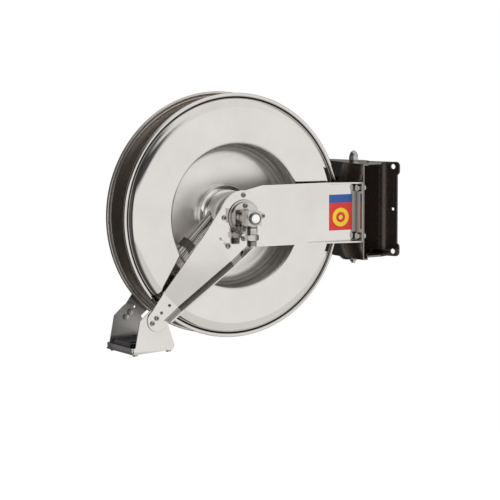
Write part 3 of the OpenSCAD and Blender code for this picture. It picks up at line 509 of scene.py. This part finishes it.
def make_drum():
    """Discs and hub. The far disc shows its winding side, so its bead is dull too."""
    for name, node, dish, bowl, side in (("disc_near_shell", "disc_near", -6, 25, -1),
                                         ("disc_far_shell", "disc_far", 10, 20, 1)):
        bm = bmesh.new()
        points, finish = [], []
        for k, (f, run) in enumerate(disc_outline(dish, bowl)):
            f = 1 if side > 0 and k < BEAD_PARTS else f
            points += [(r, side * y) for r, y in run]
            finish += [f] * len(run)
        lathe(bm, points, 320, lambda k: finish[k])
        finish_piece(name, bm, "drum", "drum_steel", [node], 50,
                     looks=("drum_steel", "drum_inside"))
    for name, node, outline in (("hub_tube_spun", "hub_tube", HUB),
                                ("hub_flange_spun", "hub_flange", HUB_FLANGE)):
        bm = bmesh.new()
        lathe(bm, outline, 160)
        finish_piece(name, bm, "drum", "drum_steel", [node], 40, looks=("hub_steel",))


def screw_head(bm, place, radius, height, socket):
    """Domed head with a hexagon socket: place carries z = 0 on the sheet, z up out of it."""
    steps, rings = 40, []
    dome = [(radius, 0.0), (radius, height * 0.3)]
    dome += [(radius * math.cos(a), height * (0.3 + 0.7 * math.sin(a)))
             for a in (0.35, 0.7, 1.0, 1.2)]
    dome += [(socket * 1.12, height), (socket, height * 0.97), (socket * 0.96, height * 0.4),
             (0.02, height * 0.3)]
    for k, (r, z) in enumerate(dome):
        ring = []
        for i in range(steps):
            a = turn(i, steps)
            q = r
            if k >= len(dome) - 3:
                q = r * 0.88 / math.cos(hexagon_angle(a))
            ring.append(bm.verts.new(place @ Vector((q * math.cos(a), q * math.sin(a), z))))
        rings.append(ring)
    for a, b in zip(rings, rings[1:]):
        strip(bm, a, b)
    bm.faces.new(rings[-1])
    bm.faces.new(list(reversed(rings[0])))


def shank(bm, start, end, r, steps=32):
    """Round bar between two points."""
    a, b = Vector(start), Vector(end)
    m = (b - a).to_track_quat("Z", "Y").to_matrix().to_4x4()
    low, high = [], []
    for i in range(steps):
        t = turn(i, steps)
        ring = m @ Vector((r * math.cos(t), r * math.sin(t), 0))
        low.append(bm.verts.new(a + ring))
        high.append(bm.verts.new(b + ring))
    strip(bm, low, high)
    bm.faces.new(list(reversed(low)))
    bm.faces.new(high)


def make_screws():
    """Screws along Y, as (x, z, plane under the head, plane where the shank ends)."""
    housing = [(*polar(HOUSING_SCREW_R, a), side * ARM_FACE, side * HOUSING_IN)
               for side in (-1, 1) for a in (0, 90, 180, 270)]
    guide = [(x, z, side * GUIDE_FACE, side * GUIDE_SCREW_END)
             for side in (-1, 1) for x, z in GUIDE_SCREWS]
    swivel = [(0, z, -SWIVEL_FLANGE, -SWIVEL_SCREW_END) for z in (-SWIVEL_SCREW_Z, SWIVEL_SCREW_Z)]
    slot = [(*polar(*SLOT_SCREW_AT), -ARM_FACE, -HOUSING_IN)]
    for name, node, places, head, radius in (
            ("housing_screw_heads", "housing_screws", housing, SCREW_HEAD, SCREW_SHANK),
            ("guide_screw_heads", "guide_screws", guide, SCREW_HEAD, SCREW_SHANK),
            ("flange_screw_heads", "swivel_flange_screws", swivel, SWIVEL_HEAD, SCREW_SHANK),
            ("slot_screw_head", "slot_screw", slot, SLOT_HEAD, SLOT_SHANK)):
        bm = bmesh.new()
        for x, z, face, end in places:
            outwards = Matrix.Rotation(math.radians(90 if face < 0 else -90), 4, "X")
            screw_head(bm, Matrix.Translation((x, face, z)) @ outwards, *head)
            shank(bm, (x, face, z), (x, end, z), radius)
        finish_piece(name, bm, "frame", "fastener_steel", [node], 40)


def hexagon(bm, flats, bore, z0, z1, steps=96):
    """Hexagon nut with a bore and rounded-off corners, along the lathe's axis."""
    bevel = 0.13 * (z1 - z0)
    rings = []
    for y, corner in ((z0, 1.0), (z0 + bevel, 2.0), (z1 - bevel, 2.0), (z1, 1.0)):
        ring = []
        for i in range(steps):
            a = turn(i, steps)
            q = min(flats / 2 / math.cos(hexagon_angle(a)), flats / 2 * 1.02 * corner)
            ring.append(bm.verts.new((q * math.cos(a), y, q * math.sin(a))))
        rings.append(ring)
    for y in (z1, z0):
        rings.append([bm.verts.new((bore * math.cos(turn(i, steps)), y,
                                    bore * math.sin(turn(i, steps)))) for i in range(steps)])
    for a, b in zip(rings, rings[1:] + rings[:1]):
        strip(bm, a, b)


# Inlet swivel. The cap is turned about the drum axis, from its back to its front; the rest
# about an upright axis through the swivel block, with heights from the drum axis.
BLOCK_MID = -117.5
CAP = [(0, -125), (10.5, -125), (10.5, -131), (12, -131), (12.5, -131.5), (12.5, -134.2),
       (11.9, -134.8), (10.6, -134.8), (10.3, -133.2), (9.7, -133.2), (9.3, -134.7), (8.6, -135),
       (0, -135)]
CAP_EDGE = (4, 9)                   # bands of painted shade: the dark edge and groove round the cap, in dark_steel
ADAPTER = [(6.5, -14.5), (12, -14.5), (12, -17), (11, -17.8), (11, -19.2), (12, -20),
           (12, -30.5), (11.3, -31.6), (11.3, -33), (6.5, -33)]
# band of painted shade in the groove of the adapter, in dark_steel
ADAPTER_GROOVE = (2, 4)
NUT_FLATS, NUT_BORE, NUT_LOW, NUT_HIGH = 25, 9.05, -45, -33
WATER_R, TAIL_R, TAIL_END = 6.5, 9, -58
THREAD_ROOT, THREAD_TIP = 9.5, 10.4
THREAD_PITCH, THREAD_TURNS, THREAD_TOP = 1.814, 6, -45.6


def make_swivel():
    bm = bmesh.new()
    lathe(bm, CAP, 96, lambda k: 1 if CAP_EDGE[0] <= k <= CAP_EDGE[1] else 0)
    finish_piece("swivel_cap_turned", bm, "frame", "inlet_steel", ["swivel_cap"], 40,
                 looks=("hub_steel", "dark_steel"))
    upright = Matrix.Rotation(math.radians(90), 4, "X")
    column = REEL @ Matrix.Translation((0, BLOCK_MID, 0)) @ upright
    bm = bmesh.new()
    lathe(bm, ADAPTER, 96, lambda k: 1 if ADAPTER_GROOVE[0] <= k <= ADAPTER_GROOVE[1] else 0)
    finish_piece("adapter_turned", bm, "frame", "inlet_steel", ["inlet_adapter"], 40, column,
                 ("inlet_steel", "dark_steel"))
    bm = bmesh.new()
    hexagon(bm, NUT_FLATS, NUT_BORE, NUT_LOW, NUT_HIGH)
    finish_piece("union_nut_turned", bm, "frame", "inlet_steel", ["inlet_nut"], 30, column)
    bm = bmesh.new()
    tail = [(WATER_R, NUT_HIGH), (TAIL_R, NUT_HIGH), (TAIL_R, NUT_LOW), (THREAD_ROOT, NUT_LOW)]
    for i in range(THREAD_TURNS):
        top = THREAD_TOP - i * THREAD_PITCH
        tail += [(THREAD_ROOT, top), (THREAD_TIP, top - 0.7), (THREAD_TIP, top - 0.95),
                 (THREAD_ROOT, top - 1.65)]
    tail += [(THREAD_ROOT, TAIL_END + 0.5), (TAIL_R, TAIL_END), (WATER_R, TAIL_END)]
    lathe(bm, tail, 96)
    finish_piece("threaded_tail", bm, "frame", "inlet_steel", ["inlet_tail"], 30, column)


make_drum()
make_screws()
make_swivel()
